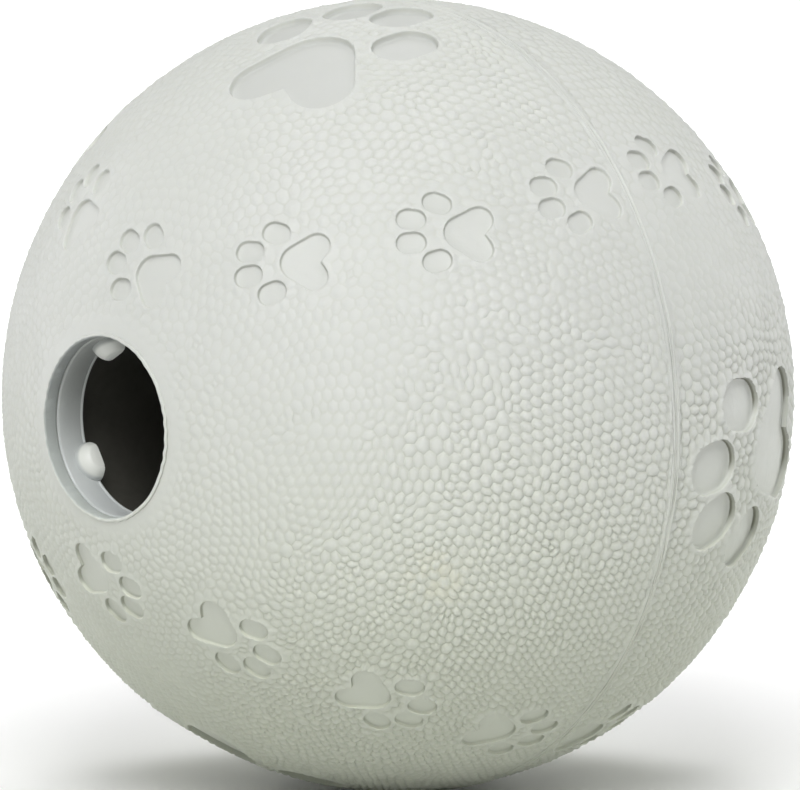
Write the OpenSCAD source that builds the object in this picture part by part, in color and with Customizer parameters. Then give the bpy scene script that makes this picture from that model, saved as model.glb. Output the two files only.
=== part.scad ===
// A hollow rubber snack ball with a labyrinth inside, for treats that roll out through one opening.
// The origin is the centre of the ball, the opening faces the front, -Y, and +Z is up.
// The two rubber halves meet in the plane y = 0.

/* [Ball] */
// Diameter of the ball
ball_d = 90; // [80:1:110]
// Thickness of the rubber wall
wall_t = 5; // [4.8:0.1:6]

/* [Opening] */
// Bore of the opening
opening_d = 20; // [17:0.5:22]
// Width of the raised bead round the opening
bead_w = 0.5; // [0.4:0.05:1]
// Height of that bead above the ball
bead_h = 0.2; // [0.1:0.05:0.3]
// Depth of the rubber lip in front of the collar
lip_depth = 1.7; // [1.2:0.1:2]

/* [Collar] */
// Depth of the collar's inner end below the mouth of the opening
collar_end = 5.6; // [5.4:0.05:5.7]
// Thickness of the collar's sleeve
sleeve_t = 2.6; // [2:0.1:3]
// Width of the flange that anchors the collar in the rubber
flange_w = 3; // [2:0.1:4]
// Thickness of that flange
flange_t = 1.4; // [1:0.1:1.6]
// Bevel at the outer end of the collar's bore, which leaves a fine groove below the lip
collar_bevel = 0.35; // [0.1:0.05:0.5]
// Depth of the straight bore below the mouth
bore_depth = 3; // [2.5:0.1:3.5]
// Widening of the bore's radius from there to its inner end
bore_flare = 0.2; // [0.1:0.05:0.4]
// Number of lugs in the collar
lug_n = 4; // [3:1:5]
// Radius of the rounded lugs
lug_r = 2.4; // [2:0.1:2.8]
// How far a lug stands into the bore
lug_reach = 1.7; // [1.3:0.1:2.1]
// How much of a lug's dome is missing at its blunt crest, which faces the axis
lug_crest = 0.35; // [0.1:0.05:0.6]
// Turn of the first lug from the +X side
lug_turn = 31; // [0:1:89]

/* [Seam] */
// Width of the cement band between the halves
seam_w = 0.7; // [0.5:0.1:1.2]
// Width of each fine raised line on the band
flash_w = 0.18; // [0.1:0.02:0.24]
// Height of those lines above the ball
flash_h = 0.18; // [0.1:0.02:0.3]

/* [Small paw prints] */
// Depth of a small print
print_depth = 0.5; // [0.3:0.05:0.8]
// Length of a toe
toe_l = 3.3; // [2.8:0.1:3.6]
// Width of a toe
toe_w = 2.5; // [2.1:0.1:2.6]
// Side step of an outer toe
outer_x = 3.45; // [3.2:0.05:3.8]
// Forward step of an outer toe
outer_y = 0.15; // [0:0.05:0.4]
// Outward lean of an outer toe
outer_lean = 20; // [10:1:30]
// Side step of an inner toe
inner_x = 1.4; // [1.35:0.05:1.6]
// Forward step of an inner toe
inner_y = 3; // [2.8:0.05:3.4]
// Outward lean of an inner toe
inner_lean = 6; // [0:1:12]
// Distance of the pad behind the middle of the print
pad_back = 3.3; // [3.1:0.05:3.6]
// Radius of the pad's front
pad_r = 2.05; // [1.9:0.05:2.2]
// Forward step of the pad's front
pad_y = 0.7; // [0.5:0.05:0.9]
// Radius of each heel of the pad
heel_r = 1.55; // [1.4:0.05:1.7]
// Side step of each heel
heel_x = 1.75; // [1.6:0.05:1.9]
// Backward step of each heel
heel_y = 1.2; // [1:0.05:1.4]

/* [Large paw prints] */
// Size of a large print against a small one
large_share = 2.35; // [2:0.05:2.4]
// Depth of a large print
large_depth = 0.8; // [0.5:0.05:1]
// Tilt of the middle of a large print from the pole of its half
large_tilt = 71.8; // [70:0.2:73]
// Turn of a large print about its own middle
large_lean = 14; // [0:1:18]

/* [Walk of the small prints] */
// Turn of the whole pattern about the opening
walk_turn = -8; // [-180:1:180]
// Tilt of the print beside the seam
cross_tilt = 80.4; // [79:0.2:82]
// Tilt of the print on the straight run
side_tilt = 59.2; // [57:0.2:61]
// Tilt of the print in the bend
bend_tilt = 37; // [36:0.2:39]
// Tilt of the print that rounds the pole
pole_tilt = 24; // [22:0.2:25]
// Turn of the straight run from the middle of the bend
side_turn = 46.3; // [45:0.1:48]
// Turn of the print in the bend
bend_turn = 37; // [35:0.2:40]

/* [Labyrinth] */
// Gap between the labyrinth and the rubber
insert_gap = 0.2; // [0.1:0.05:0.4]
// Bore of the middle tube
tube_d = 24; // [23:0.5:26]
// Thickness of the labyrinth's walls
insert_t = 1.6; // [1.2:0.1:2]
// Places of the three plates along the opening's axis, from the front
plate_z = [20, 2, -16]; // [-20:0.5:22]
// Width of the tube's side outlets
outlet_w = 14; // [10:0.5:16]
// Height of those outlets
outlet_h = 13; // [10:0.5:14]
// Width of the notch in each plate
notch_w = 20; // [14:0.5:24]
// Distance of that notch from the axis
notch_x = 19; // [17:0.5:22]
// Distance of the pin bosses from the axis
boss_y = 25; // [22:0.5:28]
// Radius of the pin bosses
boss_r = 2.6; // [2.4:0.1:3]
// Length of a pin boss
boss_l = 6; // [5:0.5:8]
// Radius of the pins
pin_r = 1.2; // [1:0.1:1.4]
// Length of the pins
pin_l = 4; // [3:0.5:4.5]
// Gap round and beyond a pin
pin_gap = 0.1; // [0.05:0.05:0.15]

/* [Hidden] */
$fn = 64;
ball_fn = 160;

ball_r = ball_d / 2;
inner_r = ball_r - wall_t;
insert_r = inner_r - insert_gap;
opening_r = opening_d / 2;
tube_r = tube_d / 2;
mouth_z = sqrt(pow(ball_r, 2) - pow(opening_r, 2));
collar_front = mouth_z - lip_depth;
collar_back = mouth_z - collar_end;
collar_mid = (collar_front + collar_back) / 2;
overrun = ball_r / 15;

toe_sides = 14;
arc_steps = 6;
outlet_z = (plate_z[1] + plate_z[2]) / 2;

// Stations of one bend of the walk: tilt from the pole, turn about it, and heading off the way to the pole
walk = [
    [cross_tilt, -side_turn, 5],
    [side_tilt, -side_turn, 23],
    [bend_tilt, -bend_turn, 34],
    [pole_tilt, 1, 104],
    [bend_tilt, bend_turn, 167],
    [side_tilt, side_turn, 179],
    [cross_tilt, side_turn, 180]
];

function way(angle) = [cos(angle), sin(angle)];

// Points of an arc, with both its ends
function arc(centre, r, from, to) =
    [for (i = [0 : arc_steps]) centre + r * way(from + (to - from) * i / arc_steps)];

// An oval toe that points along +Y
module toe() {
    polygon([for (i = [0 : toe_sides - 1])
        let (t = i * 360 / toe_sides)
        [toe_w / 2 * cos(t), toe_l / 2 * sin(t)]]);
}

// The pad of a print: a round front, two heels and a notch between them, joined by straight flanks
module pad() {
    run = [heel_x, -heel_y - pad_y];
    base = atan2(run[1], run[0]);
    lean = acos((pad_r - heel_r) / norm(run));
    outer = base + lean;
    inner = base - lean;
    notch_y = pad_y + pad_r / sin(inner);
    polygon(concat(
        arc([heel_x, -heel_y], heel_r, inner, outer),
        arc([0, pad_y], pad_r, outer, 180 - outer),
        arc([-heel_x, -heel_y], heel_r, 180 - outer, 180 - inner),
        [[0, notch_y]]
    ));
}

// A whole paw print that points along +Y
module paw_outline() {
    for (side = [-1, 1]) {
        translate([side * outer_x, outer_y]) rotate(-side * outer_lean) toe();
        translate([side * inner_x, inner_y]) rotate(-side * inner_lean) toe();
    }
    translate([0, -pad_back]) pad();
}

// What one print takes out of the ball: its floor follows the ball
module print_cut(share, depth) {
    difference() {
        translate([0, 0, inner_r])
            linear_extrude(wall_t + overrun)
                scale(share) paw_outline();
        sphere(r = ball_r - depth, $fn = ball_fn);
    }
}

// Places a child from the +Z pole to a tilt and turn, with a heading off the way back to the pole
module on_ball(tilt, turn, heading) {
    rotate([0, 0, turn]) rotate([-tilt, 0, 0]) rotate([0, 0, 180 - heading]) children();
}

// The prints of one half, about its own pole at +Z
module half_prints(turn, hand) {
    for (half_turn = [0, 180]) {
        for (at = walk)
            on_ball(at[0], turn + hand * (half_turn + at[1]), hand * at[2]) print_cut(1, print_depth);
        on_ball(large_tilt, turn + half_turn, 180 - large_lean) print_cut(large_share, large_depth);
    }
}

// Turns the +Z pole to the front
module face_front() {
    rotate([90, 0, 0]) children();
}

// Turns the +Z pole to the rear
module face_rear() {
    rotate([-90, 0, 0]) children();
}

// Section of half the rubber wall, right of the axis
module wall_section() {
    difference() {
        circle(r = ball_r, $fn = ball_fn);
        circle(r = inner_r, $fn = ball_fn);
        translate([-2 * ball_r, -ball_r]) square([2 * ball_r, 2 * ball_r]);
        translate([-ball_r, -2 * ball_r + seam_w / 2]) square([2 * ball_r, 2 * ball_r]);
    }
}

// Section of the collar, right of the axis
module collar_section() {
    polygon([
        [opening_r + collar_bevel, collar_front],
        [opening_r + sleeve_t, collar_front],
        [opening_r + sleeve_t, collar_mid + flange_t / 2],
        [opening_r + sleeve_t + flange_w, collar_mid + flange_t / 2],
        [opening_r + sleeve_t + flange_w, collar_mid - flange_t / 2],
        [opening_r + sleeve_t, collar_mid - flange_t / 2],
        [opening_r + sleeve_t, collar_back],
        [opening_r + bore_flare, collar_back],
        [opening_r, mouth_z - bore_depth],
        [opening_r, collar_front - collar_bevel]
    ]);
}

// Room for the collar in the rubber, open to the hollow behind it
module collar_seat_section() {
    translate([0, collar_back - 2 * overrun])
        square([opening_r + sleeve_t, collar_front - collar_back + 2 * overrun]);
    translate([0, collar_mid - flange_t / 2])
        square([opening_r + sleeve_t + flange_w, flange_t]);
}

module shell_front() {
    bead_drop = bead_w / 2 - bead_h;
    color([0.87, 0.885, 0.855])
    difference() {
        face_front() rotate_extrude($fn = ball_fn)
            difference() {
                union() {
                    wall_section();
                    translate([opening_r + bead_w / 2, mouth_z - bead_drop]) circle(r = bead_w / 2);
                }
                translate([-overrun, 0]) square([opening_r + overrun, ball_r + overrun]);
                collar_seat_section();
            }
        face_front() half_prints(walk_turn, 1);
    }
}

module shell_rear() {
    color([0.87, 0.885, 0.855])
    difference() {
        face_rear() rotate_extrude($fn = ball_fn) wall_section();
        face_rear() half_prints(90 - walk_turn, -1);
    }
}

module seam_bond() {
    color([0.84, 0.855, 0.82])
    face_front() rotate_extrude($fn = ball_fn) {
        translate([inner_r, -seam_w / 2]) square([wall_t, seam_w]);
        for (side = [-1, 1])
            translate([ball_r - flash_h, side * (seam_w - flash_w) / 2 - flash_w / 2])
                square([2 * flash_h, flash_w]);
    }
}

module throat_collar() {
    clear_r = opening_r - lug_reach;
    lug_centre = clear_r - lug_crest + lug_r;
    color([0.64, 0.675, 0.69])
    face_front() {
        rotate_extrude($fn = ball_fn) collar_section();
        intersection() {
            for (i = [0 : lug_n - 1])
                rotate([0, 0, lug_turn + i * 360 / lug_n])
                    translate([lug_centre, 0, collar_back]) sphere(r = lug_r);
            rotate_extrude($fn = ball_fn)
                translate([clear_r, collar_back])
                    square([lug_reach + sleeve_t / 2, 2 * lug_r]);
        }
    }
}

// Section of the whole labyrinth, right of the axis
module labyrinth_section() {
    intersection() {
        union() {
            translate([tube_r, plate_z[2]]) square([insert_t, ball_r - plate_z[2]]);
            for (i = [0 : 2])
                translate([i == 2 ? 0 : tube_r, plate_z[i] - insert_t / 2]) square([ball_r, insert_t]);
        }
        circle(r = insert_r, $fn = ball_fn);
    }
}

// The pins' places on the parting plane
module at_pins() {
    for (z = plate_z, side = [-1, 1])
        translate([0, side * boss_y, z]) rotate([0, 90, 0]) children();
}

// One half of the labyrinth, right of the parting plane for hand 1 and left for -1
module labyrinth_half(hand) {
    difference() {
        intersection() {
            union() {
                rotate_extrude($fn = ball_fn) labyrinth_section();
                at_pins() cylinder(r = boss_r, h = 2 * boss_l, center = true);
            }
            translate([hand > 0 ? 0 : -ball_r, -ball_r, -ball_r]) cube([ball_r, 2 * ball_r, 2 * ball_r]);
        }
        translate([hand > 0 ? 0 : -tube_d, -outlet_w / 2, outlet_z - outlet_h / 2])
            cube([tube_d, outlet_w, outlet_h]);
        for (i = [0 : 2])
            if ((i == 1) == (hand < 0))
                translate([hand > 0 ? notch_x : -ball_r, -notch_w / 2, plate_z[i] - insert_t])
                    cube([ball_r - notch_x, notch_w, 2 * insert_t]);
    }
}

module labyrinth_right() {
    color([0.07, 0.07, 0.065])
    face_front() {
        labyrinth_half(1);
        at_pins() translate([0, 0, -pin_l]) cylinder(r = pin_r, h = 2 * pin_l);
    }
}

module labyrinth_left() {
    color([0.07, 0.07, 0.065])
    face_front() difference() {
        labyrinth_half(-1);
        at_pins() cylinder(r = pin_r + pin_gap, h = 2 * (pin_l + pin_gap), center = true);
    }
}

shell_front();
shell_rear();
seam_bond();
throat_collar();
labyrinth_right();
labyrinth_left();
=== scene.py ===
"""A hollow rubber snack ball with sunk paw prints, a lugged collar in its mouth and a labyrinth inside.

The ball's centre is the origin, its mouth faces the front, -Y, and +Z is up. All lengths are in metres.
"""

import logging
import math
import random
from collections.abc import Iterator, Sequence
from dataclasses import dataclass, field
from enum import Enum
from functools import reduce

import bmesh
import bpy
import numpy as np
from bmesh.types import BMesh, BMFace, BMLayerItem
from bpy.types import Material, Node, NodeSocket, Object
from mathutils import Matrix, Vector

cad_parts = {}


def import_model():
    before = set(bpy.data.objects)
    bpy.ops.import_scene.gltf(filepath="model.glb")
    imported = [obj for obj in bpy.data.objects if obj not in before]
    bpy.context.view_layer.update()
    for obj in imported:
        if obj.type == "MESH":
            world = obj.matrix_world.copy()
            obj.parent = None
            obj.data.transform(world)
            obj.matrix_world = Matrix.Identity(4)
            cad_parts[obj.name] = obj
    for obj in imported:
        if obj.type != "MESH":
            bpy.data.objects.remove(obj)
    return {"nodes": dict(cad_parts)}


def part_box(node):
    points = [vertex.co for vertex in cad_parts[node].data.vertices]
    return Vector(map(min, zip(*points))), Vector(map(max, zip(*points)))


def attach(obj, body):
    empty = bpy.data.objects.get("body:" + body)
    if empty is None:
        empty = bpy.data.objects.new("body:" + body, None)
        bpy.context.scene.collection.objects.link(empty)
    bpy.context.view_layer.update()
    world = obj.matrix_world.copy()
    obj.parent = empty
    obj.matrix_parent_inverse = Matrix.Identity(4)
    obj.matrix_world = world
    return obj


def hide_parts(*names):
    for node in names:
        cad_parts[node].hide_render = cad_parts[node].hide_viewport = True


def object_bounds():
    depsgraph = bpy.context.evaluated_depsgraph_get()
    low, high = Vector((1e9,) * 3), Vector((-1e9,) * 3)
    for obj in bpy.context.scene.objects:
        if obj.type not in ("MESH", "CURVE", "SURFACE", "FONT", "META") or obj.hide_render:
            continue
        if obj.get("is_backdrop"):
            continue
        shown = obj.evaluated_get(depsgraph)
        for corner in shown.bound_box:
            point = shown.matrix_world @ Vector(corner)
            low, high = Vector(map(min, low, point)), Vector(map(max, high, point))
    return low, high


MM = 0.001
# A length that no longer counts, and one longer than any on the ball.
TINY = 0.001 * MM
FAR = 1.0
LOG = logging.getLogger("snack_ball")
Colour = tuple[float, float, float]
Pair = tuple[float, float]
Value = NodeSocket | float | Sequence[float]


def rotation(degrees: float, axis: str) -> Matrix:
    """Turn about an axis."""
    return Matrix.Rotation(math.radians(degrees), 4, axis)


class Half(Enum):
    """The two rubber halves, told by the side of the seam that they lie on."""

    FRONT = -1
    REAR = 1

    @property
    def facing(self) -> Matrix:
        """Turn that brings the +Z pole of a pattern to this half's pole."""
        return rotation(-90.0 * self.value, "X")


@dataclass(frozen=True)
class BallSizes:
    """Sizes that the pieces share, as the solids have them.

    Args:
        radius: Radius of the ball.
        wall: Thickness of the rubber wall.
        mouth: Radius of the opening.
        lip: Depth of the rubber lip in front of the collar.
        collar_end: Depth of the collar's inner end below the mouth.
        sleeve: Thickness of the collar's sleeve.
        seam: Width of the cement band between the halves.
    """

    radius: float
    wall: float = 5.0 * MM
    mouth: float = 10.0 * MM
    lip: float = 1.7 * MM
    collar_end: float = 5.6 * MM
    sleeve: float = 2.6 * MM
    seam: float = 0.7 * MM

    @property
    def inner(self) -> float:
        """Radius of the hollow."""
        return self.radius - self.wall

    @property
    def mouth_height(self) -> float:
        """Distance of the mouth's edge from the ball's centre, along the axis."""
        return math.sqrt(self.radius**2 - self.mouth**2)


def to_object(name: str, shape: BMesh) -> Object:
    """Turns a bmesh into an object at the origin, and frees it.

    Args:
        name: Name of the new object and its mesh.
        shape: The bmesh, already in its place.

    Returns:
        The new object.
    """
    mesh = bpy.data.meshes.new(name)
    shape.to_mesh(mesh)
    shape.free()
    piece = bpy.data.objects.new(name, mesh)
    bpy.context.scene.collection.objects.link(piece)
    return piece


def carve(piece: Object, tool: Object, operation: str = "DIFFERENCE") -> None:
    """Cuts or joins a closed tool into a closed piece, and removes the tool.

    Args:
        piece: The object to change.
        tool: The closed shape that cuts it or joins it.
        operation: DIFFERENCE or UNION.
    """
    step = piece.modifiers.new("carve", "BOOLEAN")
    step.operation = operation
    step.solver = "MANIFOLD"
    step.object = tool
    bpy.context.view_layer.update()
    ready = piece.evaluated_get(bpy.context.evaluated_depsgraph_get())
    carved = bpy.data.meshes.new_from_object(ready)
    piece.modifiers.clear()
    old, piece.data = piece.data, carved
    carved.name = piece.name
    bpy.data.meshes.remove(old)
    mesh = tool.data
    bpy.data.objects.remove(tool)
    bpy.data.meshes.remove(mesh)


def smooth_to_angle(piece: Object, degrees: float) -> None:
    """Shades a piece smooth, with edges that turn more than an angle kept crisp."""
    piece.data.polygons.foreach_set("use_smooth", [True] * len(piece.data.polygons))
    piece.data.set_sharp_from_angle(angle=math.radians(degrees))


def dress(piece: Object, finish: Material) -> None:
    """Gives a piece one material."""
    piece.data.materials.clear()
    piece.data.materials.append(finish)


def cut_off(shape: BMesh, place: Vector, keep: Vector) -> None:
    """Cuts a closed mesh at a plane, keeps one side and closes it flat.

    Args:
        shape: The mesh.
        place: A point of the plane.
        keep: Normal of the plane, towards the side that is kept.
    """
    everything = shape.verts[:] + shape.edges[:] + shape.faces[:]
    bmesh.ops.bisect_plane(shape, geom=everything, plane_co=place, plane_no=keep, clear_inner=True)
    bmesh.ops.holes_fill(shape, edges=[edge for edge in shape.edges if edge.is_boundary], sides=0)
    bmesh.ops.recalc_face_normals(shape, faces=shape.faces[:])


def lathe(profile: Sequence[Pair], steps: int) -> BMesh:
    """Spins a closed outline about the ball's axis.

    Args:
        profile: Points of the outline as radius and height towards the mouth.
        steps: Number of steps in the full turn.

    Returns:
        The closed ring or plug, facing the front.
    """
    shape = bmesh.new()
    rim = [shape.verts.new((r, -h, 0.0)) for r, h in profile]
    edges = [shape.edges.new(pair) for pair in zip(rim, rim[1:] + rim[:1])]
    bmesh.ops.spin(
        shape, geom=rim + edges, cent=(0, 0, 0), axis=(0, 1, 0), angle=math.tau, steps=steps, use_merge=True
    )
    bmesh.ops.remove_doubles(shape, verts=shape.verts[:], dist=TINY)
    bmesh.ops.dissolve_degenerate(shape, edges=shape.edges[:], dist=TINY)
    bmesh.ops.delete(shape, geom=[edge for edge in shape.edges if edge.is_wire], context="EDGES")
    bmesh.ops.recalc_face_normals(shape, faces=shape.faces[:])
    return shape


class Graph:
    """A short way to lay out the nodes of one material."""

    def __init__(self, name: str) -> None:
        """Starts an empty material with an output and a principled shader.

        Args:
            name: Name of the material.
        """
        self.material = bpy.data.materials.new(name)
        self.material.use_nodes = True
        self.tree = self.material.node_tree
        self.tree.nodes.clear()
        self.shader = self.add("ShaderNodeBsdfPrincipled")
        output = self.add("ShaderNodeOutputMaterial")
        self.feed(output.inputs["Surface"], self.shader.outputs["BSDF"])
        self.place = self.add("ShaderNodeTexCoord").outputs["Object"]

    def feed(self, socket: NodeSocket, value: Value) -> None:
        """Links an output to an input, or sets the input to a number or a colour.

        Args:
            socket: The input.
            value: What goes into it.
        """
        if isinstance(value, NodeSocket):
            self.tree.links.new(value, socket)
        else:
            socket.default_value = value

    def add(self, kind: str, **values: object) -> Node:
        """Adds a node.

        Args:
            kind: The node's type.
            values: Properties by name, and inputs by name with spaces as underscores.

        Returns:
            The new node.
        """
        node = self.tree.nodes.new(kind)
        for name, value in values.items():
            if hasattr(node, name):
                setattr(node, name, value)
            else:
                self.feed(node.inputs[name.replace("_", " ")], value)
        return node

    def shade(self, **values: Value) -> None:
        """Feeds the shader's inputs, by name with spaces as underscores."""
        for name, value in values.items():
            self.feed(self.shader.inputs[name.replace("_", " ")], value)

    def vector(self, operation: str, *terms: Value) -> NodeSocket:
        """Works on vectors.

        Args:
            operation: The node's operation.
            terms: What it works on.

        Returns:
            The resulting vector or number.
        """
        node = self.add("ShaderNodeVectorMath", operation=operation)
        for socket, term in zip(node.inputs, terms):
            self.feed(socket, term)
        return node.outputs["Value" if operation in ("LENGTH", "DISTANCE", "DOT_PRODUCT") else "Vector"]

    def number(self, operation: str, *terms: Value) -> NodeSocket:
        """Works on numbers.

        Args:
            operation: The node's operation.
            terms: What it works on.

        Returns:
            The resulting number.
        """
        node = self.add("ShaderNodeMath", operation=operation)
        for socket, term in zip(node.inputs, terms):
            self.feed(socket, term)
        return node.outputs["Value"]

    def product(self, *factors: NodeSocket) -> NodeSocket:
        """Multiplies numbers."""
        return reduce(lambda so_far, factor: self.number("MULTIPLY", so_far, factor), factors)

    def part(self, vector: NodeSocket, axis: str) -> NodeSocket:
        """Reads the X, Y or Z of a vector."""
        return self.add("ShaderNodeSeparateXYZ", Vector=vector).outputs[axis]

    def from_axis(self) -> NodeSocket:
        """Measures the distance from the ball's axis, which runs along Y."""
        return self.vector("LENGTH", self.vector("MULTIPLY", self.place, (1.0, 0.0, 1.0)))

    def noise(
        self, scale: float, detail: float = 2.0, roughness: float = 0.5, finer_along_y: float = 1.0
    ) -> NodeSocket:
        """Adds a noise pattern on object coordinates.

        Args:
            scale: Repeats per metre.
            detail: Octaves of the noise.
            roughness: Share of each finer octave.
            finer_along_y: How many times finer the pattern is along Y.

        Returns:
            The pattern's value, 0 to 1.
        """
        place = self.vector("MULTIPLY", self.place, (1.0, finer_along_y, 1.0))
        node = self.add("ShaderNodeTexNoise", Vector=place, Scale=scale, Detail=detail, Roughness=roughness)
        return node.outputs["Fac"]

    def ramp(
        self, value: NodeSocket, low: float, high: float, start: float = 0.0, end: float = 1.0
    ) -> NodeSocket:
        """Maps a value smoothly from one range to another.

        Args:
            value: The value to map.
            low: Input that gives start.
            high: Input that gives end.
            start: Output at low.
            end: Output at high.

        Returns:
            The mapped value.
        """
        node = self.add("ShaderNodeMapRange", interpolation_type="SMOOTHSTEP", Value=value)
        for name, limit in (("From Min", low), ("From Max", high), ("To Min", start), ("To Max", end)):
            node.inputs[name].default_value = limit
        return node.outputs["Result"]

    def mix(self, share: NodeSocket, first: Value, second: Value, blend: str = "MIX") -> NodeSocket:
        """Mixes two colours.

        Args:
            share: Share of the second colour.
            first: A colour or a colour output.
            second: A colour or a colour output.
            blend: Blend mode.

        Returns:
            The mixed colour.
        """
        node = self.add("ShaderNodeMix", data_type="RGBA", blend_type=blend, Factor=share)
        ends = [socket for socket in node.inputs if socket.type == "RGBA"]
        for socket, colour in zip(ends, (first, second)):
            self.feed(socket, colour if isinstance(colour, NodeSocket) else (*colour, 1.0))
        return next(socket for socket in node.outputs if socket.type == "RGBA")

    def bump(self, height: NodeSocket, distance: float, below: NodeSocket | None = None) -> NodeSocket:
        """Adds a bump from a height.

        Args:
            height: The height, 0 to 1.
            distance: Height in metres that 1 stands for.
            below: Normal of a coarser bump under this one.

        Returns:
            The bumped normal.
        """
        node = self.add("ShaderNodeBump", Height=height, Distance=distance, Strength=1.0)
        if below is not None:
            self.feed(node.inputs["Normal"], below)
        return node.outputs["Normal"]


class BallGraph(Graph):
    """A graph that knows where on the ball a point lies and how the surface is turned there."""

    def __init__(self, name: str, radius: float) -> None:
        """Measures place and turn.

        Args:
            name: Name of the material.
            radius: Radius of the ball.
        """
        super().__init__(name)
        self.radius = radius
        self.along = self.part(self.place, "Y")
        self.rise = self.part(self.place, "Z")
        self.reach = self.vector("LENGTH", self.place)
        normal = self.add("ShaderNodeNewGeometry").outputs["Normal"]
        self.outright = self.vector("DOT_PRODUCT", normal, self.vector("NORMALIZE", self.place))
        sideways = self.vector("SUBTRACT", normal, self.vector("PROJECT", normal, self.place))
        self.upward = self.part(sideways, "Z")

    def band(self, place: NodeSocket, low: float, high: float, *ends: float) -> NodeSocket:
        """Maps a place smoothly, as ramp does, with its limits in ball radii."""
        return self.ramp(place, low * self.radius, high * self.radius, *ends)

    def sunk(self, low: float, high: float, *ends: float) -> NodeSocket:
        """Maps the depth below the ball's surface smoothly, as ramp does."""
        return self.ramp(self.reach, self.radius - low, self.radius - high, *ends)


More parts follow.
